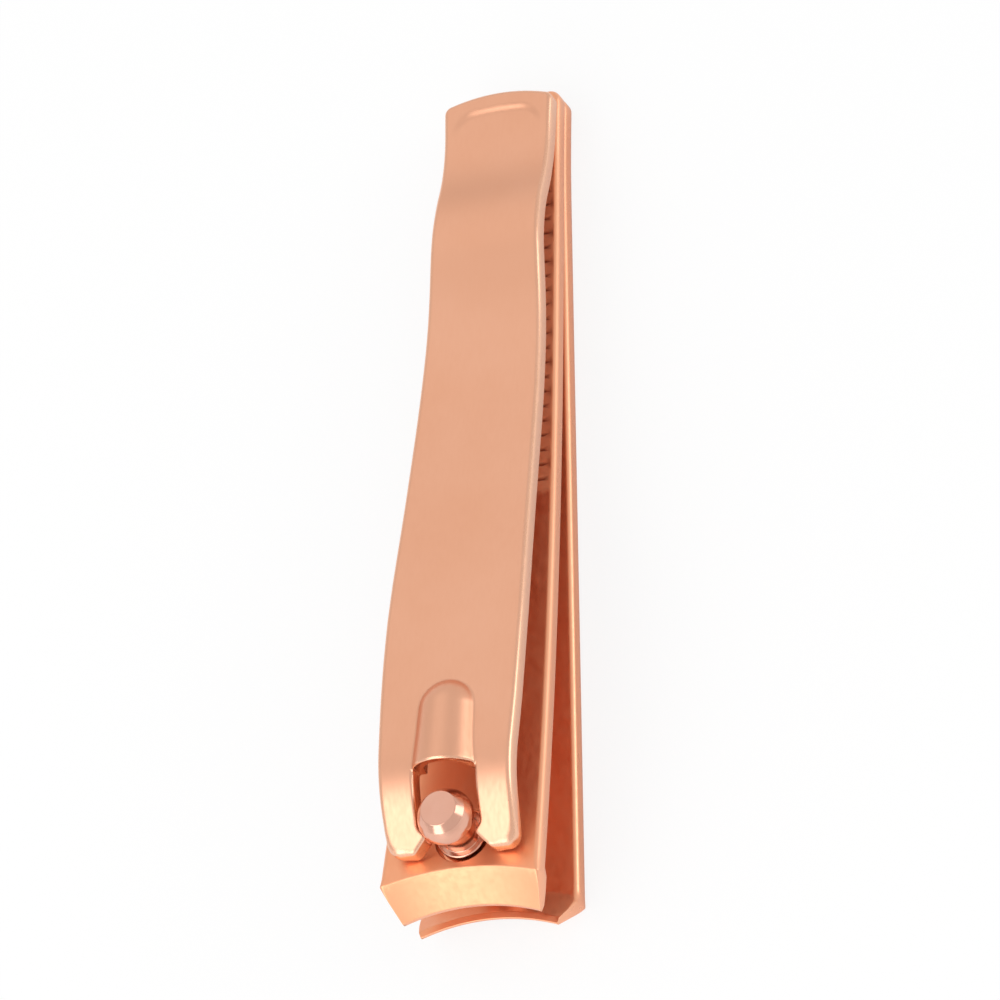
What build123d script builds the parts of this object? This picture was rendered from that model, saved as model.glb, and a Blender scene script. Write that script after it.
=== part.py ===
from build123d import *
from math import atan2, cos, radians, sin, sqrt, tan
import os

# Lever-type nail clipper, lever folded flat on the body for storage.
# Millimetres. X is across the body, Y runs from the jaws (-Y) to the tail (+Y), Z is up.
# The flat underside of the lower arm lies on Z = 0. Stations are distances back from the jaw corners.

# overall size
body_length = 60.0
jaw_half_width = 4.70
shoulder_half_width = 5.45
tail_half_width = 3.90
tail_corner_radius = 0.80

# the two spring arms
arm_thickness = 1.27
hinge_inset = 5.0
hinge_slope = 0.0485
arm_rise = 3.63
arm_rise_power = 2.5

# the jaws
jaw_sagitta = 0.80
jaw_reach = 1.92
jaw_land = 0.45
jaw_wall = 1.10
jaw_block_length = 0.90
mouth_gap = 2.63
lower_edge_height = 3.165
upper_nose_height = 0.35
lower_nose_height = 0.26

# nail file cut across the top of the upper arm
file_end_inset = 7.70
file_pitch = 1.095
file_cuts = 21
file_cut_width = 0.34
file_cut_depth = 0.13
file_side_margin = 0.42

# pin
pin_tilt = 6.0
pin_station = 4.18
head_radius = 1.85
head_flat_radius = 1.20
head_ring_radius = 1.58
head_ring_drop = 0.50
head_round = 0.30
head_height = 1.75
head_seat_gap = 0.26
neck_radius = 1.30
shaft_radius = 1.70
shaft_proud = 0.12
foot_radius = 2.40
foot_bottom = 0.33
foot_height = 0.50
shaft_clearance = 0.05
arm_hole_clearance = 0.17
foot_clearance = 0.08

# rivet at the tail
rivet_radius = 1.00
rivet_head_radius = 1.60
rivet_head_height = 0.45
rivet_recess = 0.03
rivet_fit = 0.01
rivet_swing_clearance = 0.22

# lever
lever_thickness = 1.35
lever_tip_station = 3.40
lever_end_inset = 0.35
lever_end_sagitta = 0.65
lever_end_half_width = 3.95
lever_end_round = 1.10
tip_clearance = 0.45
pad_clearance = 0.26
prong_slope = 22.0
prong_half_width = 4.42
prong_length = 4.45
slot_clearance = 0.27
slot_back_station = 8.53
lobe_clearance = 0.30
lobe_station = 4.40
lobe_length = 0.50
lobe_round = 0.30
flare_half_width = 2.60
flare_round = 0.60
tip_round = 0.85

# bends of the lever behind its crown: share of the way back, share of the drop
lever_bends = [
    (0.219, 0.180),
    (0.411, 0.475),
    (0.546, 0.668),
    (0.656, 0.765),
    (0.799, 0.710),
    (0.898, 1),
    (1, 1),
]
# half width of the lever: share of the way forward from the pad, half width
lever_sides = [
    (0.05, 3.90),
    (0.18, 3.82),
    (0.30, 4.02),
    (0.46, 4.28),
    (0.62, 4.47),
    (0.78, 4.78),
    (0.90, 4.74),
    (0.97, 4.60),
]
bend_share = 0.48
least_turn = 0.1

# pressed tunnel behind the slot, the fulcrum of the lever
tunnel_radius = 2.35
tunnel_far_radius = 2.10
tunnel_length = 4.00
tunnel_depth = 1.17
tunnel_wall = 0.75
tunnel_slope = 4.0

# coined thumb rest
dish_half_width = 3.10
dish_inset = 5.10
dish_end_inset = 1.70
dish_end_sagitta = 0.30
dish_corner_radius = 1.40
dish_depth = 0.20
dish_crease_share = 0.02

hinge_station = body_length - hinge_inset
lever_end_station = body_length - lever_end_inset
file_station = body_length - file_end_inset - (file_cuts - 1) * file_pitch
slot_half_width = head_radius + slot_clearance
lobe_half_gap = neck_radius + lobe_clearance
dish_length = dish_inset - dish_end_inset

# how far the cutting shapes run past the metal
overcut = 1.0
jaw_cutter_reach = 6.0
hollow_cutter_rise = 2.0
pin_hole_reach = 5.0
arm_curve_spans = 11


def at(station):
    """Y of a station measured back from the jaw corners."""
    return station - body_length / 2


def upper_top(station):
    """Height of the upper arm's top face at a station."""
    reach = max(hinge_station - station, 0)
    return 2 * arm_thickness + hinge_slope * reach + arm_rise * (reach / hinge_station) ** arm_rise_power


def arm_half_width(station):
    """Half width of the arms, which taper from the shoulders to the hinge."""
    share = (station - jaw_reach) / (hinge_station - jaw_reach)
    return shoulder_half_width + (tail_half_width - shoulder_half_width) * share


def upper_curve(drop):
    """Points along the upper arm from the hinge to the front, a given distance below its top face."""
    stations = [hinge_station * (1 - i / arm_curve_spans) for i in range(arm_curve_spans + 1)]
    return [(at(s), upper_top(s) - drop) for s in stations]


def bend_radii(corners):
    """Widest bend at each inner corner of a path that leaves room for the bends beside it."""
    radii = []
    for before, here, after in zip(corners, corners[1:], corners[2:]):
        arriving = Vector(*here) - Vector(*before)
        leaving = Vector(*after) - Vector(*here)
        turn = radians(max(arriving.get_angle(leaving), least_turn))
        radii.append(bend_share * min(arriving.length, leaving.length) / tan(turn / 2))
    return radii


upper_edge_height = lower_edge_height + mouth_gap
jaw_radius = (jaw_half_width**2 + jaw_sagitta**2) / (2 * jaw_sagitta)
jaw_axis = Axis((0, at(jaw_sagitta - jaw_radius), 0), (0, 0, 1))
jaw_back = jaw_reach + jaw_sagitta + jaw_block_length
edge_middle = at(jaw_sagitta)

pin_plane = Plane(
    origin=(0, at(pin_station), 0),
    x_dir=(1, 0, 0),
    z_dir=(0, sin(radians(pin_tilt)), cos(radians(pin_tilt))),
)
pin_section = Plane(origin=pin_plane.origin, x_dir=(1, 0, 0), z_dir=-pin_plane.y_dir)
pin_axis = Axis(pin_plane.origin, pin_plane.z_dir)
rivet_axis = Axis((0, at(hinge_station), 0), (0, 0, 1))
rivet_top = 2 * arm_thickness - rivet_recess

# Side profile of the lever: rounded nose, sloping prongs, crown above the slot, long wave to the pad.
nose_radius = lever_thickness / 2
nose_station = lever_tip_station + nose_radius
nose_height = upper_top(nose_station) + tip_clearance + nose_radius
slope_sin = sin(radians(prong_slope))
slope_cos = cos(radians(prong_slope))
nose_top = (at(nose_station - nose_radius * slope_sin), nose_height + nose_radius * slope_cos)
crown = (nose_top[0] + prong_length * slope_cos, nose_top[1] + prong_length * slope_sin)
pad_height = 2 * arm_thickness + pad_clearance + lever_thickness
lever_run = at(lever_end_station) - crown[0]
lever_drop = crown[1] - pad_height
back_bends = [(crown[0] + u * lever_run, crown[1] - v * lever_drop) for u, v in lever_bends]
back_corners = [nose_top, crown, *back_bends]
lever_end_corner = (lever_end_half_width, at(lever_end_station - lever_end_sagitta))
side_bends = [(half, at(lever_end_station) - u * lever_run) for u, half in lever_sides]
side_corners = [lever_end_corner, *side_bends, (prong_half_width, at(lever_tip_station))]

# Heights along the pin, which leans towards the tail.
shaft_top = upper_top(pin_station) + shaft_proud
lobe_top = nose_top[1] + (at(lobe_station) - nose_top[0]) * slope_sin / slope_cos
head_bottom = lobe_top + head_seat_gap
pin_height = head_bottom + head_height

# Plan outline shared by both arms.
with BuildSketch(Plane.XY) as arm_plan:
    with BuildLine():
        Polyline(
            (0, at(body_length)),
            (tail_half_width, at(body_length)),
            (tail_half_width, at(hinge_station)),
            (shoulder_half_width, at(jaw_reach)),
            (jaw_half_width, at(0)),
            (0, at(0)),
            close=True,
        )
    make_face()
    tail_corner = arm_plan.vertices().sort_by_distance((tail_half_width, at(body_length), 0))[0]
    fillet(tail_corner, tail_corner_radius)
    mirror(about=Plane.YZ)

# Space behind the lower cutting edge, above the flat of the arm.
with BuildPart() as lower_hollow:
    outer_lean = jaw_reach / (lower_edge_height - lower_nose_height)
    wall_width = jaw_wall * sqrt(1 + outer_lean**2)
    wall_foot = outer_lean * (lower_edge_height - lower_nose_height - arm_thickness) + wall_width
    with BuildSketch(Plane.YZ):
        with BuildLine():
            Polyline(
                (edge_middle + jaw_land, lower_edge_height + overcut),
                (edge_middle + jaw_land, lower_edge_height),
                (edge_middle + wall_foot, arm_thickness),
                (edge_middle + jaw_cutter_reach, arm_thickness),
                (edge_middle + jaw_cutter_reach, lower_edge_height + overcut),
                close=True,
            )
        make_face()
    revolve(axis=jaw_axis, revolution_arc=360)

with BuildPart() as lower_arm:
    with BuildSketch(Plane.YZ):
        with BuildLine():
            Polyline(
                (at(0), 0),
                (at(body_length), 0),
                (at(body_length), arm_thickness),
                (at(jaw_back), arm_thickness),
                (at(jaw_back), lower_edge_height),
                (at(0), lower_edge_height),
                close=True,
            )
        make_face()
    extrude(amount=shoulder_half_width + overcut, both=True)
    # concave outer face of the jaw
    with BuildSketch(Plane.YZ):
        with BuildLine():
            Polyline(
                (edge_middle - jaw_cutter_reach, lower_edge_height + overcut),
                (edge_middle, lower_edge_height + overcut),
                (edge_middle, lower_edge_height - lower_nose_height),
                (edge_middle + jaw_reach + outer_lean, -overcut),
                (edge_middle - jaw_cutter_reach, -overcut),
                close=True,
            )
        make_face()
    revolve(axis=jaw_axis, revolution_arc=360, mode=Mode.SUBTRACT)
    add(lower_hollow.part, mode=Mode.SUBTRACT)
    extrude(arm_plan.sketch, amount=lower_edge_height + overcut, mode=Mode.INTERSECT)
    # leaning hole for the pin, counterbored from below for its foot
    with BuildSketch(pin_plane.offset(-overcut)):
        Circle(shaft_radius + shaft_clearance)
    extrude(amount=pin_hole_reach, mode=Mode.SUBTRACT)
    with BuildSketch(pin_plane.offset(-overcut)):
        Circle(foot_radius + foot_clearance)
    extrude(amount=overcut + foot_bottom + foot_height + foot_clearance / 2, mode=Mode.SUBTRACT)
    # rivet hole, countersunk from below
    with BuildSketch(Plane.YZ):
        with BuildLine():
            Polyline(
                (at(hinge_station), -overcut),
                (at(hinge_station) + rivet_head_radius + rivet_fit, -overcut),
                (at(hinge_station) + rivet_head_radius + rivet_fit, rivet_recess),
                (at(hinge_station) + rivet_radius + rivet_fit, rivet_recess + rivet_head_height),
                (at(hinge_station) + rivet_radius + rivet_fit, arm_thickness + overcut),
                (at(hinge_station), arm_thickness + overcut),
                close=True,
            )
        make_face()
    revolve(axis=rivet_axis, revolution_arc=360, mode=Mode.SUBTRACT)

# Space behind the upper cutting edge, below the arm's underside.
with BuildPart() as upper_hollow:
    upper_bend_height = upper_top(jaw_reach)
    upper_lean = jaw_reach / (upper_bend_height - upper_edge_height - upper_nose_height)
    upper_wall_width = jaw_wall * sqrt(1 + upper_lean**2)
    ceiling = upper_top(jaw_back) - arm_thickness
    upper_wall_head = upper_lean * (ceiling - upper_edge_height - upper_nose_height) + upper_wall_width
    head_lean = (upper_wall_head - jaw_land) / (ceiling - upper_edge_height)
    hollow_cutter_top = upper_edge_height + hollow_cutter_rise
    with BuildSketch(Plane.YZ):
        with BuildLine():
            Polyline(
                (edge_middle + jaw_land, upper_edge_height - overcut),
                (edge_middle + jaw_land, upper_edge_height),
                (edge_middle + jaw_land + hollow_cutter_rise * head_lean, hollow_cutter_top),
                (edge_middle + jaw_cutter_reach, hollow_cutter_top),
                (edge_middle + jaw_cutter_reach, upper_edge_height - overcut),
                close=True,
            )
        make_face()
    revolve(axis=jaw_axis, revolution_arc=360)
    with BuildSketch(Plane.YZ):
        with BuildLine():
            underside = Spline(*upper_curve(arm_thickness))
            Polyline(underside @ 1, (at(0), 0), (at(hinge_station), 0), underside @ 0)
        make_face()
    extrude(amount=shoulder_half_width + overcut, both=True, mode=Mode.INTERSECT)

with BuildPart() as upper_arm:
    with BuildSketch(Plane.YZ):
        with BuildLine():
            face_line = Spline(*upper_curve(0))
            under_line = Spline(*upper_curve(arm_thickness))
            Line(face_line @ 1, under_line @ 1)
            Polyline(
                face_line @ 0,
                (at(body_length), 2 * arm_thickness),
                (at(body_length), arm_thickness),
                under_line @ 0,
            )
        make_face()
    extrude(amount=shoulder_half_width + overcut, both=True)
    # block that the jaw is ground from
    with BuildSketch(Plane.YZ):
        with BuildLine():
            Polyline(
                (at(0), upper_edge_height),
                (at(jaw_back), upper_edge_height),
                (at(jaw_back), upper_top(jaw_back) - arm_thickness / 2),
                (at(0), upper_top(0) - arm_thickness / 2),
                close=True,
            )
        make_face()
    extrude(amount=shoulder_half_width + overcut, both=True)
    # concave outer face of the jaw
    with BuildSketch(Plane.YZ):
        with BuildLine():
            Polyline(
                (edge_middle - jaw_cutter_reach, upper_edge_height - overcut),
                (edge_middle, upper_edge_height - overcut),
                (edge_middle, upper_edge_height + upper_nose_height),
                (edge_middle + jaw_reach + upper_lean, upper_bend_height + overcut),
                (edge_middle - jaw_cutter_reach, upper_bend_height + overcut),
                close=True,
            )
        make_face()
    revolve(axis=jaw_axis, revolution_arc=360, mode=Mode.SUBTRACT)
    add(upper_hollow.part, mode=Mode.SUBTRACT)
    extrude(arm_plan.sketch, amount=2 * upper_bend_height, mode=Mode.INTERSECT)
    # leaning hole for the pin
    with BuildSketch(pin_plane.offset(upper_edge_height - overcut)):
        Circle(shaft_radius + arm_hole_clearance)
    extrude(amount=pin_hole_reach, mode=Mode.SUBTRACT)
    # rivet hole, countersunk from above
    with BuildSketch(Plane.YZ):
        with BuildLine():
            Polyline(
                (at(hinge_station), 2 * arm_thickness + overcut),
                (at(hinge_station) + rivet_head_radius + rivet_swing_clearance, 2 * arm_thickness + overcut),
                (at(hinge_station) + rivet_head_radius + rivet_swing_clearance, rivet_top),
                (at(hinge_station) + rivet_radius + rivet_swing_clearance, rivet_top - rivet_head_height),
                (at(hinge_station) + rivet_radius + rivet_swing_clearance, 0),
                (at(hinge_station), 0),
                close=True,
            )
        make_face()
    revolve(axis=rivet_axis, revolution_arc=360, mode=Mode.SUBTRACT)
    # file cuts
    for cut in range(file_cuts):
        station = file_station + cut * file_pitch
        face = upper_top(station)
        with BuildSketch(Plane.YZ):
            with BuildLine():
                Polyline(
                    (at(station), face - file_cut_depth),
                    (at(station + file_cut_width), face + file_cut_depth),
                    (at(station - file_cut_width), face + file_cut_depth),
                    close=True,
                )
            make_face()
        extrude(amount=arm_half_width(station) - file_side_margin, both=True, mode=Mode.SUBTRACT)

# Turned pin: foot below the lower arm, shaft through both arms, neck, and the head above the fork.
with BuildPart() as pin:
    with BuildSketch(pin_section):
        with BuildLine():
            Polyline(
                (head_radius - head_round, pin_height - head_ring_drop - head_round),
                (head_ring_radius, pin_height - head_ring_drop),
                (head_flat_radius, pin_height),
                (0, pin_height),
                (0, foot_bottom),
                (foot_radius, foot_bottom),
                (foot_radius, foot_bottom + foot_height),
                (shaft_radius, foot_bottom + foot_height),
                (shaft_radius, shaft_top),
                (neck_radius, shaft_top),
                (neck_radius, head_bottom),
                (head_radius, head_bottom),
                (head_radius, pin_height - head_ring_drop - 2 * head_round),
                (head_radius - head_round, pin_height - head_ring_drop - head_round),
            )
        make_face()
    revolve(axis=pin_axis, revolution_arc=360)

with BuildPart() as tail_rivet:
    with BuildSketch(Plane.YZ):
        with BuildLine():
            Polyline(
                (at(hinge_station), rivet_recess),
                (at(hinge_station) + rivet_head_radius, rivet_recess),
                (at(hinge_station) + rivet_radius, rivet_recess + rivet_head_height),
                (at(hinge_station) + rivet_radius, rivet_top - rivet_head_height),
                (at(hinge_station) + rivet_head_radius, rivet_top),
                (at(hinge_station), rivet_top),
                close=True,
            )
        make_face()
    revolve(axis=rivet_axis, revolution_arc=360)

# Plan outline of the lever with its fork.
with BuildSketch(Plane.XY) as lever_plan:
    with BuildLine():
        end_arc = ThreePointArc(
            (0, at(lever_end_station)),
            (lever_end_half_width / 2, at(lever_end_station - lever_end_sagitta / 4)),
            lever_end_corner,
        )
        side = FilletPolyline(*side_corners, radius=bend_radii(side_corners))
        Polyline(
            side @ 1,
            (flare_half_width, at(lever_tip_station)),
            (lobe_half_gap, at(lobe_station)),
            (slot_half_width, at(lobe_station + lobe_length)),
            (slot_half_width, at(slot_back_station)),
            (0, at(slot_back_station)),
            end_arc @ 0,
        )
    make_face()
    corners = [
        (*lever_end_corner, lever_end_round),
        (prong_half_width, at(lever_tip_station), tip_round),
        (flare_half_width, at(lever_tip_station), flare_round),
        (lobe_half_gap, at(lobe_station), lobe_round),
    ]
    for x, y, radius in corners:
        corner = lever_plan.vertices().sort_by_distance((x, y, 0))[0]
        fillet(corner, radius)
    mirror(about=Plane.YZ)

# Bullet shapes that press the tunnel: the upper half of a cone with a round far end.
tunnel_height = crown[1] - tunnel_depth
tunnel_lean = radians(tunnel_slope)
tunnel_plane = Plane(
    origin=(0, at(slot_back_station), tunnel_height),
    x_dir=(0, cos(tunnel_lean), -sin(tunnel_lean)),
    z_dir=(1, 0, 0),
)


def bullet_outline(near_radius, far_radius):
    """Half section of a bullet along the tunnel's axis, from just before the slot's back edge."""
    with BuildLine() as outline:
        wall = Line((-overcut, near_radius), (tunnel_length, far_radius))
        nose = ThreePointArc(
            wall @ 1,
            (tunnel_length + far_radius * sqrt(0.5), far_radius * sqrt(0.5)),
            (tunnel_length + far_radius, 0),
        )
        Polyline(nose @ 1, (-overcut, 0), wall @ 0)
    return outline.line


tunnel_axis = Axis(tunnel_plane.origin, tunnel_plane.x_dir)
with BuildPart() as tunnel_outside:
    with BuildSketch(tunnel_plane):
        add(bullet_outline(tunnel_radius, tunnel_far_radius))
        make_face()
    revolve(axis=tunnel_axis, revolution_arc=360)
    split(bisect_by=Plane(origin=tunnel_plane.origin, z_dir=tunnel_plane.y_dir), keep=Keep.TOP)
    split(bisect_by=Plane(origin=tunnel_plane.origin, z_dir=(0, 1, 0)), keep=Keep.TOP)

with BuildPart() as tunnel_inside:
    with BuildSketch(tunnel_plane):
        add(bullet_outline(tunnel_radius - tunnel_wall, tunnel_far_radius - tunnel_wall))
        make_face()
    revolve(axis=tunnel_axis, revolution_arc=360)

# Floor of the thumb rest: it starts level with the lever's back at the crease and runs below the pad.
crease_height = crown[1] - lever_drop * (1 - dish_crease_share)
dish_lean = atan2(crease_height - (pad_height - dish_depth), dish_length)
dish_plane = Plane(
    origin=(0, at(body_length - dish_inset), crease_height),
    x_dir=(1, 0, 0),
    z_dir=(0, sin(dish_lean), cos(dish_lean)),
)

with BuildPart() as lever:
    with BuildSketch(Plane.YZ):
        with BuildLine():
            FilletPolyline(*back_corners, radius=bend_radii(back_corners))
            offset(amount=lever_thickness, side=Side.RIGHT)
        make_face()
        with Locations((at(nose_station), nose_height)):
            Circle(nose_radius)
    extrude(amount=prong_half_width + overcut, both=True)
    extrude(lever_plan.sketch, amount=2 * crown[1], mode=Mode.INTERSECT)
    add(tunnel_outside.part)
    add(tunnel_inside.part, mode=Mode.SUBTRACT)
    # thumb rest coined into the pad: straight crease, round corners and a slightly arched end
    with BuildSketch(dish_plane) as dish:
        with BuildLine():
            end = ThreePointArc(
                (dish_half_width, dish_length - dish_end_sagitta),
                (0, dish_length),
                (-dish_half_width, dish_length - dish_end_sagitta),
            )
            Polyline(end @ 1, (-dish_half_width, 0), (dish_half_width, 0), end @ 0)
        make_face()
        fillet(dish.vertices().group_by(Axis.Y)[-1], dish_corner_radius)
    extrude(amount=lever_thickness, mode=Mode.SUBTRACT)

os.makedirs("parts", exist_ok=True)
pieces = {
    "lower_arm": lower_arm,
    "upper_arm": upper_arm,
    "tail_rivet": tail_rivet,
    "pin": pin,
    "lever": lever,
}
for name, piece in pieces.items():
    piece.part.label = name
    export_step(piece.part, f"parts/{name}.step")
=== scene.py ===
import math
import bpy
import numpy as np
from mathutils import Matrix, Vector
from mathutils.geometry import delaunay_2d_cdt


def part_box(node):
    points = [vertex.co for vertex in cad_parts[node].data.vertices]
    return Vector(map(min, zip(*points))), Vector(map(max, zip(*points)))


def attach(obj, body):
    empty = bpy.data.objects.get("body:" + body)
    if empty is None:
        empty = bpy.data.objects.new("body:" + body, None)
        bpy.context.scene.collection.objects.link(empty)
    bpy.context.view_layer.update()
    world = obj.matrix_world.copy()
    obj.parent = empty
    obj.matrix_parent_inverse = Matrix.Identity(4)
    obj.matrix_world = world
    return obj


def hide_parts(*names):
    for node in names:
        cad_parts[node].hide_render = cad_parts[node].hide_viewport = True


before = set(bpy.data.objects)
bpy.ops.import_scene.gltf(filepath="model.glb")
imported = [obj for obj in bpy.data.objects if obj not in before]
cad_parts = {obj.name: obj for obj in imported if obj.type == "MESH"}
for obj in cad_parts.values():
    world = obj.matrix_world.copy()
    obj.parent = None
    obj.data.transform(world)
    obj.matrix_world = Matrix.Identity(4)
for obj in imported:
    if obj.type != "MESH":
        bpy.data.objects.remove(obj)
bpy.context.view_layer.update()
mm = 0.001

# lengths below are millimetres; a station is a distance back from the jaw corners
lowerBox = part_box("lower_arm")
frontY = lowerBox[0].y / mm
bodyLength = (lowerBox[1].y - lowerBox[0].y) / mm

armShape = {
    "thickness": 1.27,
    "shoulderHalf": 5.45,
    "tailHalf": 3.90,
    "jawHalf": 4.70,
    "tailCorner": 0.80,
    "shoulderRound": 0.38,
    "hingeStation": bodyLength - 5.0,
    "slope": 0.0485,
    "rise": 3.63,
    "risePower": 2.5,
    "sideRound": 0.38,  # softened long edges
    "lowShare": 0.55,  # the lower edges are rounded less
}

jawShape = {
    "sagitta": 0.80,
    "reach": 1.92,  # cutting edge to bend line
    "land": 0.45,  # ground flat behind the edge
    "wall": 1.10,
    "block": 0.90,
    "lowerEdge": 3.165,
    "upperEdge": 5.795,
    "lowerNose": 0.26,
    "upperNose": 0.35,
    "edgeRound": 0.035,
}

fileShape = {
    "cuts": 21,
    "pitch": 1.095,
    "endInset": 7.70,
    "halfWidth": 0.17,
    "depth": 0.13,
    "margin": 0.42,
}

leverShape = {
    "thickness": 1.35,
    "tipStation": 3.40,
    "endInset": 0.35,
    "endHalf": 3.95,
    "endSagitta": 0.65,
    "endRound": 1.10,
    "tipClear": 0.45,
    "padClear": 0.26,
    "prongSlope": math.radians(22),
    "prongLength": 4.45,
    "prongHalf": 4.42,
    "tipRound": 0.85,
    "slotHalf": 2.12,
    "slotBack": 8.53,
    "lobeHalf": 1.60,
    "lobeStation": 4.40,
    "flareHalf": 2.60,
    "flareRound": 0.60,
    "lobeLength": 0.5,
    "lobeRound": 0.3,
    "slotCorner": 0.22,
    # share of the way back from the crown, share of the drop
    "bends": [(0.219, 0.18), (0.411, 0.475), (0.546, 0.668), (0.656, 0.765),
              (0.799, 0.71), (0.898, 1), (1, 1)],
    # share of the way forward from the pad, half width
    "sides": [(0.05, 3.90), (0.18, 3.82), (0.30, 4.02), (0.46, 4.28),
              (0.62, 4.47), (0.78, 4.78), (0.90, 4.74), (0.97, 4.60)],
    "edgeRound": 0.36,
    "noseRound": 0.58,
    "slotRound": 0.22,
    "lowShare": 0.8,
}

tunnelShape = {
    "near": 2.35,  # radius at the slot
    "far": 2.10,
    "length": 4.0,
    "depth": 1.17,
    "wall": 0.75,
    "slope": math.radians(4),
    "start": 0.4,  # the faces blend from this far before the slot's back
    "blend": 0.10,
}

dishShape = {
    "half": 3.10,
    "inset": 5.10,  # straight crease, from the tail
    "endInset": 1.70,
    "sagitta": 0.30,
    "corner": 1.40,
    "depth": 0.20,
    "soft": 0.75,
}


def at(station):
    return frontY + station


# paths and heights

def roundedPath(corners, closed=True, step=0.45, turnStep=math.radians(7), closest=0.004):
    # corners are (x, y, radius); a radius of None takes the widest bend that leaves room for its neighbours
    points = []
    count = len(corners)
    for i, (x, y, radius) in enumerate(corners):
        here = Vector((x, y))
        if not closed and i in (0, count - 1):
            points.append(here)
            continue
        before = Vector(corners[i - 1][:2])
        after = Vector(corners[(i + 1) % count][:2])
        arriving, leaving = here - before, after - here
        turn = arriving.angle(leaving)
        room = 0.48 * min(arriving.length, leaving.length)
        if turn < 1e-4 or radius == 0:
            points.append(here)
            continue
        reach = room if radius is None else min(radius * math.tan(turn / 2), room)
        bend = reach / math.tan(turn / 2)
        startPoint = here - arriving.normalized() * reach
        side = 1 if arriving.x * leaving.y - arriving.y * leaving.x > 0 else -1
        normal = Vector((-arriving.y, arriving.x)).normalized() * side
        centre = startPoint + normal * bend
        pieces = max(2, math.ceil(turn / turnStep))
        for k in range(pieces + 1):
            angle = side * turn * k / pieces
            arm = Matrix.Rotation(angle, 2) @ (startPoint - centre)
            points.append(centre + arm)
    dense = []
    ends = points[1:] + points[:1] if closed else points[1:]
    for a, b in zip(points, ends):
        pieces = max(1, math.ceil((b - a).length / step))
        for k in range(pieces):
            dense.append(a.lerp(b, k / pieces))
    if not closed:
        dense.append(points[-1])
    kept = [dense[0]]
    for p in dense[1:]:
        if (p - kept[-1]).length > closest:
            kept.append(p)
    if closed and (kept[-1] - kept[0]).length < closest:
        kept.pop()
    return kept


def upperTop(station):
    reach = np.maximum(armShape["hingeStation"] - station, 0)
    curve = armShape["rise"] * (reach / armShape["hingeStation"]) ** armShape["risePower"]
    return 2 * armShape["thickness"] + armShape["slope"] * reach + curve


def armHalf(station):
    share = (station - jawShape["reach"]) / (armShape["hingeStation"] - jawShape["reach"])
    return armShape["shoulderHalf"] + (armShape["tailHalf"] - armShape["shoulderHalf"]) * np.clip(share, 0, 1)


def smoothMax(a, b, soft):
    return np.maximum(a, b) + np.maximum(soft - np.abs(a - b), 0) ** 2 / (4 * soft)


def smoothMin(a, b, soft):
    return -smoothMax(-a, -b, soft)


# plates with rounded rims

def leftNormals(points):
    before = points - np.roll(points, 1, axis=0)
    after = np.roll(points, -1, axis=0) - points
    normals = []
    for run in (before, after):
        run = run / np.linalg.norm(run, axis=1)[:, None]
        normals.append(np.stack([-run[:, 1], run[:, 0]], axis=1))
    total = normals[0] + normals[1]
    match = np.maximum(1 + (normals[0] * normals[1]).sum(axis=1), 0.35)
    return total / match[:, None]


def insideLoop(points, loop):
    x, y = points[:, 0][:, None], points[:, 1][:, None]
    a, b = loop, np.roll(loop, -1, axis=0)
    crosses = (a[:, 1] > y) != (b[:, 1] > y)
    rise = np.where(b[:, 1] == a[:, 1], 1e-12, b[:, 1] - a[:, 1])
    hit = (b[:, 0] - a[:, 0]) * (y - a[:, 1]) / rise + a[:, 0]
    return (crosses & (x < hit)).sum(axis=1) % 2 == 1


def loopDistance(points, loop):
    a, b = loop, np.roll(loop, -1, axis=0)
    run = b - a
    length = (run ** 2).sum(axis=1)
    share = ((points[:, None, :] - a) * run).sum(axis=2) / length
    near = a + np.clip(share, 0, 1)[:, :, None] * run
    return np.sqrt(((points[:, None, :] - near) ** 2).sum(axis=2)).min(axis=1)


def outsideOutline(triangles, origin, edges):
    # spreads from the hull's free edges across every edge that is not part of a loop
    fixed = {frozenset(edge) for edge in edges}
    owners, freeSides = {}, []
    for number, triangle in enumerate(triangles):
        corners = [origin[k] for k in triangle]
        pairs = [frozenset((corners[k], corners[k - 1])) for k in range(3)]
        freeSides.append([pair for pair in pairs if pair not in fixed])
        for pair in freeSides[-1]:
            owners.setdefault(pair, []).append(number)
    queue = [sharing[0] for sharing in owners.values() if len(sharing) == 1]
    outside = np.full(len(triangles), False)
    while queue:
        number = queue.pop()
        if not outside[number]:
            outside[number] = True
            for pair in freeSides[number]:
                queue += owners[pair]
    return outside


plateShape = {
    "rimSteps": 6,
    "collar": 0.05,  # even band that keeps the shading of the flats clean
    "keepOff": 0.12,  # no inner point nearer to a ring
}


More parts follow.
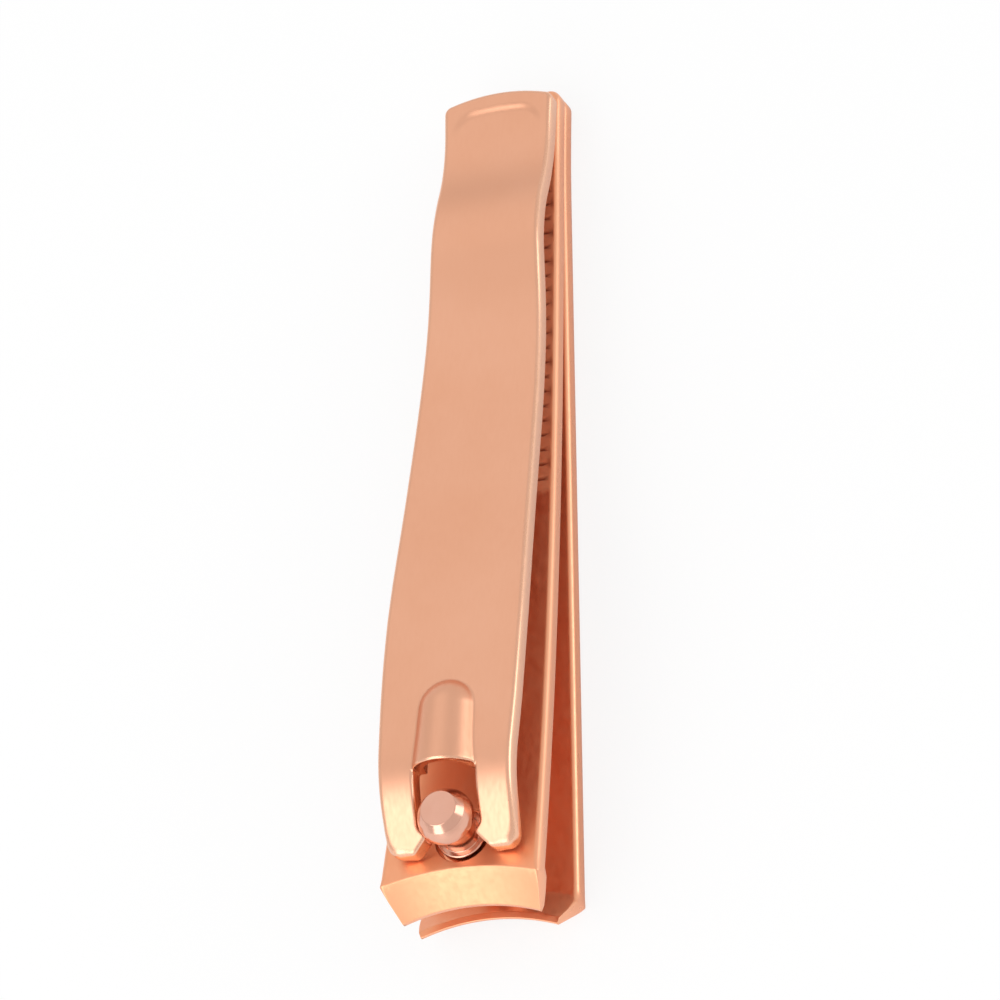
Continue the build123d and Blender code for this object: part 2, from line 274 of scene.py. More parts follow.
def plate(name, loops, fill, topHeight, lowHeight, rimRadius, lowShare):
    # loops[0] is the outline, the rest are holes; both faces share one plan, joined by a rounded rim
    rimSteps, keepOff = plateShape["rimSteps"], plateShape["keepOff"]
    rings, rimHeights, verts, faces, wearAndSheen = [], [], [], [], []
    for number, loop in enumerate(loops):
        ring = np.array([tuple(p) for p in loop])
        area = (ring[:, 0] * np.roll(ring[:, 1], -1) - np.roll(ring[:, 0], -1) * ring[:, 1]).sum()
        if (area > 0) != (number == 0):
            ring = ring[::-1].copy()
        normals = leftNormals(ring)
        radius = rimRadius(ring[:, 0], ring[:, 1], number)
        rows = []
        turns = [0.5 * math.pi * k / rimSteps for k in range(rimSteps + 1)]
        for turn in reversed(turns):
            spot = ring + normals * (radius * (1 - math.cos(turn)))[:, None]
            z = lowHeight(spot[:, 0], spot[:, 1]) + lowShare * radius * (1 - math.sin(turn))
            rows.append((spot, z, math.cos(turn)))
        for turn in turns:
            spot = ring + normals * (radius * (1 - math.cos(turn)))[:, None]
            z = topHeight(spot[:, 0], spot[:, 1]) - radius * (1 - math.sin(turn))
            rows.append((spot, z, math.cos(turn)))
        spot = ring + normals * (radius + plateShape["collar"])[:, None]
        rows.insert(0, (spot, lowHeight(spot[:, 0], spot[:, 1]), 0.0))
        rows.append((spot, topHeight(spot[:, 0], spot[:, 1]), 0.0))
        start, count = len(verts), len(ring)
        for spot, z, share in rows:
            verts += [(p[0], p[1], h) for p, h in zip(spot, z)]
            # this value is 1 on the side walls and 0 where the rim meets the flats; it pales the rims as
            # painted highlight together with worn plating
            wearAndSheen += [share] * count
        for row in range(len(rows) - 1):
            for i in range(count):
                j = (i + 1) % count
                low, high = start + row * count, start + (row + 1) * count
                faces.append((low + i, low + j, high + j, high + i))
        rings.append(rows[0][0])
        rimHeights.append((start, start + (len(rows) - 1) * count, count))
    inner = np.unique(np.round(np.array(fill), 3), axis=0)
    keep = insideLoop(inner, rings[0]) & (loopDistance(inner, rings[0]) > keepOff)
    for ring in rings[1:]:
        keep &= ~insideLoop(inner, ring) & (loopDistance(inner, ring) > keepOff)
    inner = inner[keep]
    plan, edges = [], []
    for ring in rings:
        first = len(plan)
        plan += [tuple(p) for p in ring]
        edges += [(first + i, first + (i + 1) % len(ring)) for i in range(len(ring))]
    ringTotal = len(plan)
    plan += [tuple(p) for p in inner]
    result = delaunay_2d_cdt([Vector(p) for p in plan], edges, [], 0, 1e-6, True)
    coords = np.array([tuple(p) for p in result[0]])
    origin = [group[0] if group else -1 for group in result[3]]
    triangles = np.array(result[2])
    centres = coords[triangles].mean(axis=1)
    wanted = ~outsideOutline(triangles, origin, edges)
    for ring in rings[1:]:
        wanted &= ~insideLoop(centres, ring)
    lowIndex, topIndex = {}, {}
    first = 0
    for lowStart, topStart, count in rimHeights:
        for i in range(count):
            lowIndex[first + i] = lowStart + i
            topIndex[first + i] = topStart + i
        first += count
    xs, ys = inner[:, 0], inner[:, 1]
    for heights, index in ((lowHeight(xs, ys), lowIndex), (topHeight(xs, ys), topIndex)):
        for i, z in enumerate(heights):
            index[ringTotal + i] = len(verts)
            verts.append((xs[i], ys[i], z))
            wearAndSheen.append(0.0)
    for triangle in triangles[wanted]:
        a, b, c = (origin[i] for i in triangle)
        faces.append((topIndex[a], topIndex[b], topIndex[c]))
        faces.append((lowIndex[c], lowIndex[b], lowIndex[a]))
    return finishMesh(name, verts, faces, wearAndSheen)


def finishMesh(name, verts, faces, wearAndSheen):
    mesh = bpy.data.meshes.new(name)
    mesh.from_pydata([(x * mm, y * mm, z * mm) for x, y, z in verts], [], faces)
    # this attribute pales the rounded rims: painted highlight on the edges together with plating worn thin
    # there
    layer = mesh.attributes.new("edgeWearAndSheen", "FLOAT", "POINT")
    layer.data.foreach_set("value", np.array(wearAndSheen, np.float32))
    mesh.shade_smooth()
    mesh.validate()
    mesh.update()
    piece = bpy.data.objects.new(name, mesh)
    bpy.context.scene.collection.objects.link(piece)
    print(name, "built,", len(verts), "points")
    return piece


def lathe(name, corners, foot, lean, segments=96):
    # corners are (radius, height, rounding) from the top centre to the bottom centre
    profile = roundedPath(corners, closed=False, step=0.35, turnStep=math.radians(15))
    verts, faces, wearAndSheen = [], [], []
    for p in profile[1:-1]:
        for k in range(segments):
            angle = 2 * math.pi * k / segments
            verts.append(Vector((p.x * math.cos(angle), p.x * math.sin(angle), p.y)))
            wearAndSheen.append(0.0)
    rows = len(profile) - 2
    for row in range(rows - 1):
        for k in range(segments):
            j = (k + 1) % segments
            a, b = row * segments, (row + 1) * segments
            faces.append((b + k, b + j, a + j, a + k))
    top, bottom = len(verts), len(verts) + 1
    verts += [Vector((0, 0, profile[0].y)), Vector((0, 0, profile[-1].y))]
    wearAndSheen += [0.0, 0.0]
    last = (rows - 1) * segments
    for k in range(segments):
        j = (k + 1) % segments
        faces.append((top, k, j))
        faces.append((bottom, last + j, last + k))
    turn = Matrix.Rotation(-lean, 4, "X")
    placed = [tuple(Vector(foot) + turn @ v) for v in verts]
    return finishMesh(name, placed, faces, wearAndSheen)


def circleLoop(x, y, radius, count=72):
    turns = [2 * math.pi * k / count for k in range(count)]
    return [Vector((x + radius * math.cos(turn), y + radius * math.sin(turn))) for turn in turns]


# arms

jawRadius = (armShape["jawHalf"] ** 2 + jawShape["sagitta"] ** 2) / (2 * jawShape["sagitta"])
jawCentreY = at(jawShape["sagitta"] - jawRadius)
jawBack = jawShape["reach"] + jawShape["sagitta"] + jawShape["block"]


def edgeOffset(x, y):
    return np.hypot(x, y - jawCentreY) - jawRadius  # distance behind the cutting edge


def fileCutDepth(x, y):
    half = armHalf(y - frontY) - fileShape["margin"]
    first = bodyLength - fileShape["endInset"] - (fileShape["cuts"] - 1) * fileShape["pitch"]
    place = (y - frontY - first) / fileShape["pitch"]
    near = np.clip(np.round(place), 0, fileShape["cuts"] - 1)
    away = np.abs(place - near) * fileShape["pitch"]
    depth = fileShape["depth"] * np.clip(1 - away / fileShape["halfWidth"], 0, 1)
    return depth * np.clip((half - np.abs(x)) / 0.06 + 0.4, 0, 1)


def upperArmTop(x, y):
    nose = jawShape["upperEdge"] + jawShape["upperNose"]
    bend = float(upperTop(jawShape["reach"]))
    face = nose + (bend - nose) * edgeOffset(x, y) / jawShape["reach"]
    return smoothMin(face, upperTop(y - frontY) - fileCutDepth(x, y), 0.16)


def upperArmLow(x, y):
    thickness = armShape["thickness"]
    drop = float(upperTop(jawShape["reach"])) - jawShape["upperEdge"] - jawShape["upperNose"]
    lean = jawShape["reach"] / drop
    ceiling = float(upperTop(jawBack)) - thickness
    wallHead = lean * (ceiling - jawShape["upperEdge"] - jawShape["upperNose"])
    wallHead += jawShape["wall"] * math.hypot(1, lean)
    slope = (ceiling - jawShape["upperEdge"]) / (wallHead - jawShape["land"])
    wall = jawShape["upperEdge"] + np.maximum(edgeOffset(x, y) - jawShape["land"], 0) * slope
    return smoothMin(wall, upperTop(y - frontY) - thickness, 0.12)


def lowerArmTop(x, y):
    drop = jawShape["lowerEdge"] - jawShape["lowerNose"]
    lean = jawShape["reach"] / drop
    foot = lean * (drop - armShape["thickness"]) + jawShape["wall"] * math.hypot(1, lean)
    slope = (jawShape["lowerEdge"] - armShape["thickness"]) / (foot - jawShape["land"])
    wall = jawShape["lowerEdge"] - np.maximum(edgeOffset(x, y) - jawShape["land"], 0) * slope
    return smoothMax(wall, armShape["thickness"] + 0 * x, 0.12)


pinShape = {
    "lean": math.radians(6),
    "station": 4.18,
    "shaft": 1.70,
    "shaftProud": 0.12,
    "neck": 1.30,
    "head": 1.85,
    "headFlat": 1.20,
    "headRing": 1.58,
    "headRingDrop": 0.50,
    "headHeight": 1.75,
    "headGap": 0.26,  # between the lever's lobes and the head
    "foot": 2.40,
    "footLow": 0.33,
    "footHeight": 0.50,
    "holeClear": 0.17,
    "shaftClear": 0.05,
    "footClear": 0.08,
}
rivetShape = {"radius": 1.00, "head": 1.60, "headHeight": 0.45, "recess": 0.03, "swing": 0.22, "fit": 0.01}


def lowerArmLow(x, y):
    drop = jawShape["lowerEdge"] - jawShape["lowerNose"]
    face = drop * (1 - edgeOffset(x, y) / jawShape["reach"])
    flat = smoothMax(face, 0 * x, 0.16)
    pocket = np.hypot(x, y - at(pinShape["station"])) < pinShape["foot"] + pinShape["footClear"]
    flat = np.where(pocket, pinShape["footLow"] + pinShape["footHeight"] + pinShape["footClear"] / 2, flat)
    away = np.hypot(x, y - at(armShape["hingeStation"])) - rivetShape["radius"]
    flare = rivetShape["head"] - rivetShape["radius"]
    sink = rivetShape["recess"] + rivetShape["headHeight"] * (1 - away / flare)
    return np.where(away < flare, np.maximum(sink, flat), flat)


def armOutline():
    corners = [(armShape["tailHalf"], at(bodyLength), armShape["tailCorner"]),
               (-armShape["tailHalf"], at(bodyLength), armShape["tailCorner"]),
               (-armShape["tailHalf"], at(armShape["hingeStation"]), None),
               (-armShape["shoulderHalf"], at(jawShape["reach"]), armShape["shoulderRound"]),
               (-armShape["jawHalf"], at(0), 0)]
    swing = math.asin(armShape["jawHalf"] / jawRadius)
    arcPieces = 40
    for k in range(1, arcPieces):
        angle = swing * (2 * k / arcPieces - 1)
        corners.append((jawRadius * math.sin(angle), jawCentreY + jawRadius * math.cos(angle), 0))
    corners += [(armShape["jawHalf"], at(0), 0),
                (armShape["shoulderHalf"], at(jawShape["reach"]), armShape["shoulderRound"]),
                (armShape["tailHalf"], at(armShape["hingeStation"]), None)]
    return roundedPath(corners, closest=0.04)


def armFill(filed):
    points = []
    offsets = [0.10, 0.25, 0.39, 0.45, 0.51, 0.7, 0.95, 1.2, 1.45, 1.65, 1.78, 1.86, 1.92, 1.98, 2.06, 2.2,
               2.32, 2.40, 2.48, 2.65, 2.9, 3.2, 3.5, 3.8]
    for offset in offsets:
        for k in range(-23, 24):
            x = 5.05 * k / 23
            points.append((x, jawCentreY + math.sqrt((jawRadius + offset) ** 2 - x * x)))
    stations = list(np.arange(4.9, bodyLength - 0.3, 0.45))
    if filed:
        first = bodyLength - fileShape["endInset"] - (fileShape["cuts"] - 1) * fileShape["pitch"]
        last = bodyLength - fileShape["endInset"]
        stations = [s for s in stations if s < first - 0.4 or s > last + 0.4]
        for cut in range(fileShape["cuts"]):
            middle = first + cut * fileShape["pitch"]
            half = fileShape["halfWidth"]
            stations += [middle - half, middle - half / 2, middle, middle + half / 2, middle + half]
            stations += [middle + fileShape["pitch"] * 0.37, middle + fileShape["pitch"] * 0.63]
    for station in sorted(stations):
        half = float(armHalf(station))
        edge = half - fileShape["margin"]
        for k in range(-12, 13):
            points.append((edge * 0.97 * k / 12, at(station)))
        points += [(edge, at(station)), (-edge, at(station))]
    return points


def armRim(x, y, number):
    station = y - frontY
    if number > 0:
        return np.full(len(x), 0.06)
    side = np.clip((station - 1.1) / 1.3, 0, 1)
    return jawShape["edgeRound"] + (armShape["sideRound"] - jawShape["edgeRound"]) * side


def ringFill(x, y, radii, count=72):
    return [tuple(p) for radius in radii for p in circleLoop(x, y, radius, count)]


def makeUpperArm():
    holeMiddle = float(upperTop(pinShape["station"])) - armShape["thickness"] / 2
    pinY = at(pinShape["station"]) + holeMiddle * math.sin(pinShape["lean"])
    pinHole = circleLoop(0, pinY, pinShape["shaft"] + pinShape["holeClear"])
    rivetHole = circleLoop(0, at(armShape["hingeStation"]), rivetShape["head"] + rivetShape["swing"])
    fill = armFill(True) + ringFill(0, pinY, [2.05, 2.3, 2.6])
    return plate("upperSpringArm", [armOutline(), pinHole, rivetHole], fill, upperArmTop, upperArmLow,
                 armRim, armShape["lowShare"])


def makeLowerArm():
    pinHole = circleLoop(0, at(pinShape["station"]) + 0.07, pinShape["shaft"] + pinShape["shaftClear"] + 0.04)
    rivetHole = circleLoop(0, at(armShape["hingeStation"]), rivetShape["radius"] + rivetShape["fit"])
    pocket = pinShape["foot"] + pinShape["footClear"]
    pocketRings = [pocket - 0.02, pocket + 0.02, pocket + 0.2]
    sinkRings = [1.2, 1.4, rivetShape["head"], rivetShape["head"] + 0.03]
    fill = armFill(False) + ringFill(0, at(pinShape["station"]), pocketRings)
    fill += ringFill(0, at(armShape["hingeStation"]), sinkRings)
    return plate("lowerSpringArm", [armOutline(), pinHole, rivetHole], fill, lowerArmTop, lowerArmLow,
                 armRim, armShape["lowShare"])


def markFile(piece):
    spots = np.array([tuple(v.co) for v in piece.data.vertices]) / mm
    station = spots[:, 1] - frontY
    last = bodyLength - fileShape["endInset"]
    first = last - (fileShape["cuts"] - 1) * fileShape["pitch"]
    zone = (station > first - fileShape["pitch"]) & (station < last + fileShape["pitch"])
    zone &= np.abs(spots[:, 0]) < armHalf(station) - fileShape["margin"] + 0.05
    zone &= spots[:, 2] > upperTop(station) - 0.5 * armShape["thickness"]
    layer = piece.data.attributes.new("filed", "FLOAT", "POINT")
    layer.data.foreach_set("value", zone.astype(np.float32))
    cuts = fileCutDepth(spots[:, 0], spots[:, 1]) / fileShape["depth"]
    # this attribute darkens the colour in the file's cuts as painted shade
    layer = piece.data.attributes.new("cutShadeDepth", "FLOAT", "POINT")
    layer.data.foreach_set("value", np.where(zone, cuts, 0).astype(np.float32))


upperArm = makeUpperArm()
markFile(upperArm)
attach(upperArm, "upper_arm")
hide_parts("upper_arm")
lowerArm = makeLowerArm()
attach(lowerArm, "lower_arm")
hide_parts("lower_arm")


# lever

leverThickness = leverShape["thickness"]
noseRadius = leverThickness / 2
noseStation = leverShape["tipStation"] + noseRadius
noseHeight = float(upperTop(noseStation)) + leverShape["tipClear"] + noseRadius
slopeSin, slopeCos = math.sin(leverShape["prongSlope"]), math.cos(leverShape["prongSlope"])
noseTop = (at(noseStation) - noseRadius * slopeSin, noseHeight + noseRadius * slopeCos)
crown = (noseTop[0] + leverShape["prongLength"] * slopeCos, noseTop[1] + leverShape["prongLength"] * slopeSin)
leverEnd = bodyLength - leverShape["endInset"]
padHeight = 2 * armShape["thickness"] + leverShape["padClear"] + leverThickness
leverRun = at(leverEnd) - crown[0]
leverDrop = crown[1] - padHeight


def backAndUnder():
    corners = [(*noseTop, 0), (*crown, None)]
    corners += [(crown[0] + u * leverRun, crown[1] - v * leverDrop, None) for u, v in leverShape["bends"]]
    back = np.array([tuple(p) for p in roundedPath(corners, False, 0.15, math.radians(0.6))])
    run = np.gradient(back, axis=0)
    run /= np.linalg.norm(run, axis=1)[:, None]
    under = back + leverThickness * np.stack([run[:, 1], -run[:, 0]], axis=1)
    return back, under


backLine, underLine = backAndUnder()


def extended(y, line):
    first, last = line[0], line[-1]
    startSlope = (line[1, 1] - first[1]) / (line[1, 0] - first[0])
    z = np.interp(y, line[:, 0], line[:, 1])
    z = np.where(y < first[0], first[1] + (y - first[0]) * startSlope, z)
    return np.where(y > last[0], last[1], z)


def tunnelHeight(x, y, lessRadius):
    along = y - at(leverShape["slotBack"])
    axis = crown[1] - tunnelShape["depth"] - along * math.tan(tunnelShape["slope"])
    taper = (tunnelShape["far"] - tunnelShape["near"]) / tunnelShape["length"]
    radius = tunnelShape["near"] + taper * np.clip(along, -1, tunnelShape["length"]) - lessRadius
    beyond = np.maximum(along - tunnelShape["length"], 0)
    inside = radius ** 2 - x ** 2 - beyond ** 2
    return np.where(inside > 0, axis + np.sqrt(np.maximum(inside, 0)), -1.0)


def leverTop(x, y):
    top = extended(y, backLine)
    raised = tunnelHeight(x, y, 0)
    behind = y > at(leverShape["slotBack"]) - tunnelShape["start"]
    top = np.where(behind, smoothMax(top, raised, tunnelShape["blend"]), top)
    crease = at(bodyLength - dishShape["inset"])
    length = dishShape["inset"] - dishShape["endInset"]
    creaseTop = float(extended(np.array([crease]), backLine)[0])
    floor = creaseTop - (y - crease) * (creaseTop - padHeight + dishShape["depth"]) / length
    across = np.abs(x) - dishShape["half"] + dishShape["corner"]
    along = y - crease + dishShape["sagitta"] * (x / dishShape["half"]) ** 2 - length + dishShape["corner"]
    corner = np.hypot(np.maximum(across, 0), np.maximum(along, 0))
    outside = corner + np.minimum(np.maximum(across, along), 0)
    inDish = np.clip((dishShape["corner"] - outside) / dishShape["soft"] + 0.5, 0, 1)
    inDish = inDish * inDish * (3 - 2 * inDish) * (y > crease)
    return top - np.maximum(top - floor, 0) * inDish


def leverLow(x, y):
    low = extended(y, underLine)
    raised = tunnelHeight(x, y, tunnelShape["wall"])
    behind = y > at(leverShape["slotBack"]) - tunnelShape["start"]
    return np.where(behind, smoothMax(low, raised, tunnelShape["blend"]), low)


def leverOutline():
    shape = leverShape
    half = [(shape["endHalf"] * share, at(leverEnd - shape["endSagitta"] * share ** 2), None)
            for share in (0.25, 0.5, 0.75)]
    half.append((shape["endHalf"], at(leverEnd - shape["endSagitta"]), shape["endRound"]))
    half += [(side, at(leverEnd) - share * leverRun, None) for share, side in shape["sides"]]
    half += [(shape["prongHalf"], at(shape["tipStation"]), shape["tipRound"]),
             (shape["flareHalf"], at(shape["tipStation"]), shape["flareRound"]),
             (shape["lobeHalf"], at(shape["lobeStation"]), shape["lobeRound"]),
             (shape["slotHalf"], at(shape["lobeStation"] + shape["lobeLength"]), 0.5),
             (shape["slotHalf"], at(shape["slotBack"]), shape["slotCorner"])]
    mirrored = [(-x, y, radius) for x, y, radius in reversed(half)]
    loop = half + [(0, at(shape["slotBack"]), 0)] + mirrored + [(0, at(leverEnd), None)]
    return roundedPath(loop, step=0.3, closest=0.04)


def grid(halfWidth, first, last, step):
    return [(x, at(station)) for x in np.arange(-halfWidth, halfWidth + 0.01, step)
            for station in np.arange(first, last, step)]


def leverFill():
    # even rows over the whole lever, with finer grids at the tunnel and the thumb rest
    points = []
    widthStations, widths = [3.4, 12, 20, 35, 46, 59.4], [4.42, 4.75, 4.7, 4.25, 3.95, 3.9]
    for station in np.arange(leverShape["tipStation"] + 0.2, leverEnd, 0.3):
        half = float(np.interp(station, widthStations, widths)) - 0.4
        for k in range(-12, 13):
            points.append((half * k / 12, at(station)))
    slotBack = leverShape["slotBack"]
    crease = bodyLength - dishShape["inset"]
    boxes = [(2.75, slotBack, slotBack + 7.05), (3.4, crease - 0.35, crease + 3.85)]
    for half, first, last in boxes:
        points = [p for p in points if not (abs(p[0]) < half and at(first) < p[1] < at(last))]
    points += grid(2.7, slotBack + 0.1, slotBack + 7, 0.12)
    return points + grid(3.36, crease - 0.3, crease + 3.8, 0.14)


def leverRim(x, y, number):
    station = y - frontY
    tips = np.clip((4.9 - station) / 1.0, 0, 1)
    outer = leverShape["edgeRound"] + (leverShape["noseRound"] - leverShape["edgeRound"]) * tips
    across = np.clip((np.abs(x) - 2.4) / 1.0, 0, 1)
    radius = leverShape["slotRound"] + (outer - leverShape["slotRound"]) * across
    return np.where(station < leverShape["slotBack"] + 0.3, radius, leverShape["edgeRound"])


lever = plate("thumbLever", [leverOutline()], leverFill(), leverTop, leverLow, leverRim,
              leverShape["lowShare"])
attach(lever, "lever")
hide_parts("lever")


# pin and rivet

def makePin():
    shape = pinShape
    shaftTop = float(upperTop(shape["station"])) + shape["shaftProud"]
    lobeTop = noseTop[1] + (at(leverShape["lobeStation"]) - noseTop[0]) * slopeSin / slopeCos
    headLow = lobeTop + shape["headGap"]
    top = headLow + shape["headHeight"]
    corners = [(0, top, 0), (shape["headFlat"], top, 0.10),
               (shape["headRing"], top - shape["headRingDrop"], 0.12),
               (shape["head"], top - shape["headRingDrop"] - 0.6, 0.5),
               (shape["head"], headLow, 0.22), (shape["neck"], headLow, 0.06),
               (shape["neck"], shaftTop, 0.06), (shape["shaft"], shaftTop, 0.12),
               (shape["shaft"], shape["footLow"] + shape["footHeight"], 0.03),
               (shape["foot"], shape["footLow"] + shape["footHeight"], 0.1),
               (shape["foot"], shape["footLow"], 0.12), (0, shape["footLow"], 0)]
    return lathe("pinTurned", corners, (0, at(shape["station"]), 0), shape["lean"])


def makeRivet():
    shape = rivetShape
    top = 2 * armShape["thickness"] - shape["recess"]
    low = shape["recess"]
    corners = [(0, top, 0), (shape["head"], top, 0.06),
               (shape["radius"], top - shape["headHeight"], 0.05),
               (shape["radius"], low + shape["headHeight"], 0.05),
               (shape["head"], low, 0.06), (0, low, 0)]
    return lathe("tailRivet", corners, (0, at(armShape["hingeStation"]), 0), 0.0, 64)


pin = makePin()
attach(pin, "pin")
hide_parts("pin")
tailRivet = makeRivet()
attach(tailRivet, "lower_arm")
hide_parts("tail_rivet")


# rose gold plating

def linear(red, green, blue):
    def one(value):
        value /= 255
        return value / 12.92 if value <= 0.04045 else ((value + 0.055) / 1.055) ** 2.4
    return one(red), one(green), one(blue), 1.0


def plating(name, look):
    material = bpy.data.materials.new(name)
    material.use_nodes = True
    nodes, links = material.node_tree.nodes, material.node_tree.links
    shader = nodes["Principled BSDF"]
    shader.inputs["Metallic"].default_value = 1.0
    shader.inputs["Anisotropic"].default_value = look["anisotropy"]
    place = nodes.new("ShaderNodeTexCoord")

    def noise(stretch, scale, detail):
        mapping = nodes.new("ShaderNodeMapping")
        mapping.inputs["Scale"].default_value = stretch
        links.new(place.outputs["Object"], mapping.inputs["Vector"])
        texture = nodes.new("ShaderNodeTexNoise")
        texture.inputs["Scale"].default_value = scale
        texture.inputs["Detail"].default_value = detail
        links.new(mapping.outputs["Vector"], texture.inputs["Vector"])
        return texture.outputs["Fac"]

    def remap(value, low, high, fromLow=0.3, fromHigh=0.7):
        node = nodes.new("ShaderNodeMapRange")
        node.inputs["From Min"].default_value = fromLow
        node.inputs["From Max"].default_value = fromHigh
        node.inputs["To Min"].default_value = low
        node.inputs["To Max"].default_value = high
        links.new(value, node.inputs["Value"])
        return node.outputs["Result"]

    grain = noise(look["grainStretch"], look["grainScale"], 3)
    cloud = noise((1, 1, 1), look["cloudScale"], 2)
    speck = noise((1, 1, 1), look["speckScale"], 4)
    edge = nodes.new("ShaderNodeAttribute")
    edge.attribute_name = "edgeWearAndSheen"

    colour = nodes.new("ShaderNodeMix")  # plating tone drifts a little over the surface
    colour.data_type = "RGBA"
    colour.inputs["A"].default_value = look["deep"]
    colour.inputs["B"].default_value = look["colour"]
    links.new(remap(cloud, 0.0, 1.0), colour.inputs["Factor"])
    wornSheen = nodes.new("ShaderNodeMix")  # and is paler on the rims: painted highlight on the rounded edges together with plating worn thin there
    wornSheen.data_type = "RGBA"
    wornSheen.inputs["B"].default_value = look["wornSheenColour"]
    links.new(colour.outputs["Result"], wornSheen.inputs["A"])
    links.new(remap(edge.outputs["Fac"], 0.0, look["wornSheenShare"], 0.1, 0.9), wornSheen.inputs["Factor"])
    cuts = nodes.new("ShaderNodeAttribute")  # painted shade: the file's cuts are coloured darker, as shade falls in them
    cuts.attribute_name = "cutShadeDepth"
    cutShaded = nodes.new("ShaderNodeMix")
    cutShaded.data_type = "RGBA"
    cutShaded.inputs["B"].default_value = look["cutShadeColour"]
    links.new(cuts.outputs["Fac"], cutShaded.inputs["Factor"])
    links.new(wornSheen.outputs["Result"], cutShaded.inputs["A"])
    links.new(cutShaded.outputs["Result"], shader.inputs["Base Color"])

    rough = nodes.new("ShaderNodeMath")
    rough.operation = "ADD"
    links.new(remap(grain, look["rough"][0], look["rough"][1]), rough.inputs[0])
    links.new(remap(edge.outputs["Fac"], 0.0, look["edgePolish"], 0.1, 0.9), rough.inputs[1])
    patchy = nodes.new("ShaderNodeMath")
    patchy.operation = "ADD"
    links.new(rough.outputs[0], patchy.inputs[0])
    links.new(remap(cloud, -look["patch"], look["patch"]), patchy.inputs[1])
    filed = nodes.new("ShaderNodeAttribute")  # the file's face is ground matte
    filed.attribute_name = "filed"
    ground = nodes.new("ShaderNodeMath")
    ground.operation = "MULTIPLY_ADD"
    ground.inputs[1].default_value = look["filedRough"]
    links.new(filed.outputs["Fac"], ground.inputs[0])
    links.new(patchy.outputs[0], ground.inputs[2])
    links.new(ground.outputs[0], shader.inputs["Roughness"])

    height = nodes.new("ShaderNodeMath")
    height.operation = "ADD"
    links.new(remap(grain, 0.0, 1.0), height.inputs[0])
    links.new(remap(speck, 0.0, look["speckShare"], 0.62, 0.74), height.inputs[1])
    bump = nodes.new("ShaderNodeBump")
    bump.inputs["Strength"].default_value = look["bump"]
    bump.inputs["Distance"].default_value = look["bumpHeight"] * mm
    links.new(height.outputs[0], bump.inputs["Height"])
    links.new(bump.outputs["Normal"], shader.inputs["Normal"])
    return material


leverLook = {
    "colour": linear(237, 177, 145), "deep": linear(233, 171, 138), "wornSheenColour": linear(246, 200, 170),
    "grainStretch": (6, 1, 6), "grainScale": 900, "cloudScale": 140, "speckScale": 1500, "speckShare": 0.6,
    "rough": (0.30, 0.40), "patch": 0.02, "edgePolish": -0.12, "wornSheenShare": 0.6, "filedRough": 0.0,
    "cutShadeColour": linear(170, 96, 68),
    "bump": 0.05, "bumpHeight": 0.004, "anisotropy": 0.0,
}
armLook = {
    "colour": linear(248, 175, 134), "deep": linear(246, 169, 127), "wornSheenColour": linear(250, 192, 158),
    "grainStretch": (2, 1, 2), "grainScale": 1500, "cloudScale": 90, "speckScale": 1900, "speckShare": 0.5,
    "rough": (0.36, 0.46), "patch": 0.02, "edgePolish": -0.10, "wornSheenShare": 0.5, "filedRough": 0.24,
    "cutShadeColour": linear(170, 96, 68),
    "bump": 0.05, "bumpHeight": 0.004, "anisotropy": 0.0,
}
pinLook = {
    "colour": linear(232, 180, 158), "deep": linear(224, 166, 142), "wornSheenColour": linear(240, 200, 180),
    "grainStretch": (1, 1, 6), "grainScale": 1300, "cloudScale": 300, "speckScale": 1600, "speckShare": 0.9,
    "rough": (0.14, 0.24), "patch": 0.04, "edgePolish": 0.0, "wornSheenShare": 0.0, "filedRough": 0.0,
    "cutShadeColour": linear(170, 96, 68),
    "bump": 0.12, "bumpHeight": 0.006, "anisotropy": 0.0,
}
leverPlating = plating("leverPlating", leverLook)
armPlating = plating("armPlating", armLook)
pinPlating = plating("pinPlating", pinLook)
for piece, material in ((lever, leverPlating), (upperArm, armPlating), (lowerArm, armPlating),
                        (pin, pinPlating), (tailRivet, pinPlating)):
    piece.data.materials.append(material)
print("plating done")


# floor, light and camera

def makeFloor():
    size = 2.0
    mesh = bpy.data.meshes.new("floor")
    corners = [(-size, -size, 0), (size, -size, 0), (size, size, 0), (-size, size, 0)]
    mesh.from_pydata(corners, [], [(0, 1, 2, 3)])
    floor = bpy.data.objects.new("floor", mesh)
    bpy.context.scene.collection.objects.link(floor)
    floor.location.z = lowerBox[0].z - 0.0001
    material = bpy.data.materials.new("paleFloor")
    material.use_nodes = True
    nodes, links = material.node_tree.nodes, material.node_tree.links
    nodes.clear()
    output = nodes.new("ShaderNodeOutputMaterial")
    paper = nodes.new("ShaderNodeBsdfDiffuse")
    paper.inputs["Color"].default_value = (0.9, 0.9, 0.9, 1)
    white = nodes.new("ShaderNodeEmission")
    white.inputs["Color"].default_value = (1, 1, 1, 1)
    white.inputs["Strength"].default_value = 1.0
    rays = nodes.new("ShaderNodeLightPath")
    seen = nodes.new("ShaderNodeMath")
    seen.operation = "MAXIMUM"
    links.new(rays.outputs["Is Camera Ray"], seen.inputs[0])
    links.new(rays.outputs["Is Transmission Ray"], seen.inputs[1])
    share = nodes.new("ShaderNodeMath")
    share.operation = "MULTIPLY"
    share.inputs[1].default_value = 0.84
    links.new(seen.outputs[0], share.inputs[0])
    both = nodes.new("ShaderNodeMixShader")
    links.new(share.outputs[0], both.inputs[0])
    links.new(paper.outputs[0], both.inputs[1])
    links.new(white.outputs[0], both.inputs[2])
    links.new(both.outputs[0], output.inputs["Surface"])
    mesh.materials.append(material)


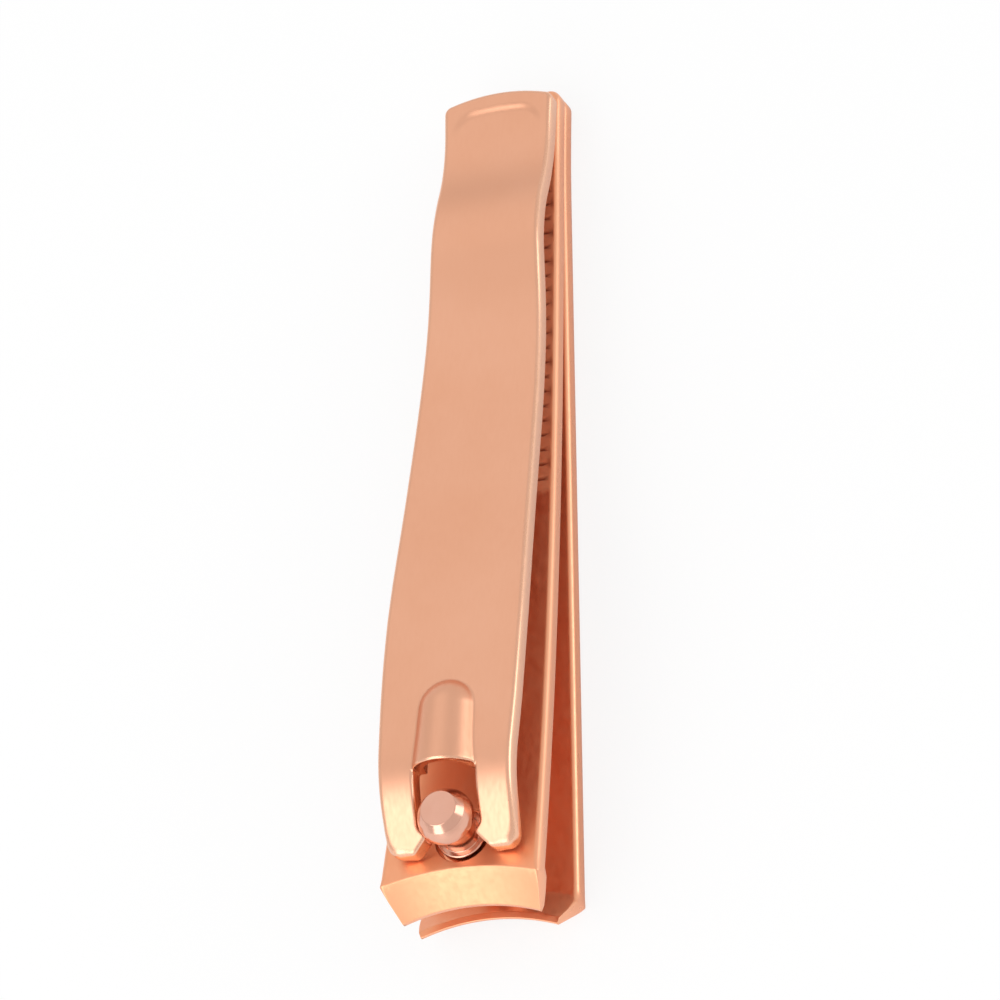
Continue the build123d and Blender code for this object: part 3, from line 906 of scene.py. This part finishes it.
lampSet = {
    "front": {"from": (-0.35, -0.45, 0.82), "far": 0.50, "size": 0.36, "power": 0.70},
    "low": {"from": (-0.35, -0.92, 0.30), "far": 0.45, "size": 0.24, "power": 0.36},
    "right": {"from": (0.90, 0.20, 0.26), "far": 0.45, "size": 0.26, "power": 0.36},
    "above": {"from": (-0.30, 0.62, 0.72), "far": 0.60, "size": 0.40, "power": 0.10},
}


def makeLights():
    for name, lamp in lampSet.items():
        data = bpy.data.lights.new(name + "Softbox", "AREA")
        data.energy = lamp["power"]
        data.size = lamp["size"]
        direction = Vector(lamp["from"]).normalized()
        holder = bpy.data.objects.new(name + "Softbox", data)
        holder.location = direction * lamp["far"]
        holder.rotation_euler = direction.to_track_quat("Z", "Y").to_euler()
        bpy.context.scene.collection.objects.link(holder)
    world = bpy.data.worlds.new("paleRoom")
    bpy.context.scene.world = world
    world.use_nodes = True
    room = world.node_tree.nodes["Background"]
    room.inputs["Color"].default_value = (1, 1, 1, 1)
    room.inputs["Strength"].default_value = 0.80


shotCamera = {
    "target": (0.0, -2.0, 3.0),
    "from": (0.35066, -0.37919, 0.85630),
    "up": (0.12819, 0.92519, 0.35721),
    "distance": 334.5,
    "lens": 182.4,
    "shiftX": 0.00365,
    "shiftY": 0.02655,
}


def makeCamera():
    data = bpy.data.cameras.new("shotCamera")
    data.lens = shotCamera["lens"]
    data.sensor_width = 36
    data.shift_x = shotCamera["shiftX"]
    data.shift_y = shotCamera["shiftY"]
    data.clip_start = 0.01
    back = Vector(shotCamera["from"]).normalized()
    right = Vector(shotCamera["up"]).cross(back).normalized()
    up = back.cross(right)
    place = Vector(shotCamera["target"]) * mm + back * shotCamera["distance"] * mm
    turn = Matrix((right, up, back)).transposed().to_4x4()
    holder = bpy.data.objects.new("shotCamera", data)
    holder.matrix_world = Matrix.Translation(place) @ turn
    bpy.context.scene.collection.objects.link(holder)
    bpy.context.scene.camera = holder


makeFloor()
makeLights()
makeCamera()
bpy.context.scene.view_settings.view_transform = "Standard"
print("floor, lights and camera done")
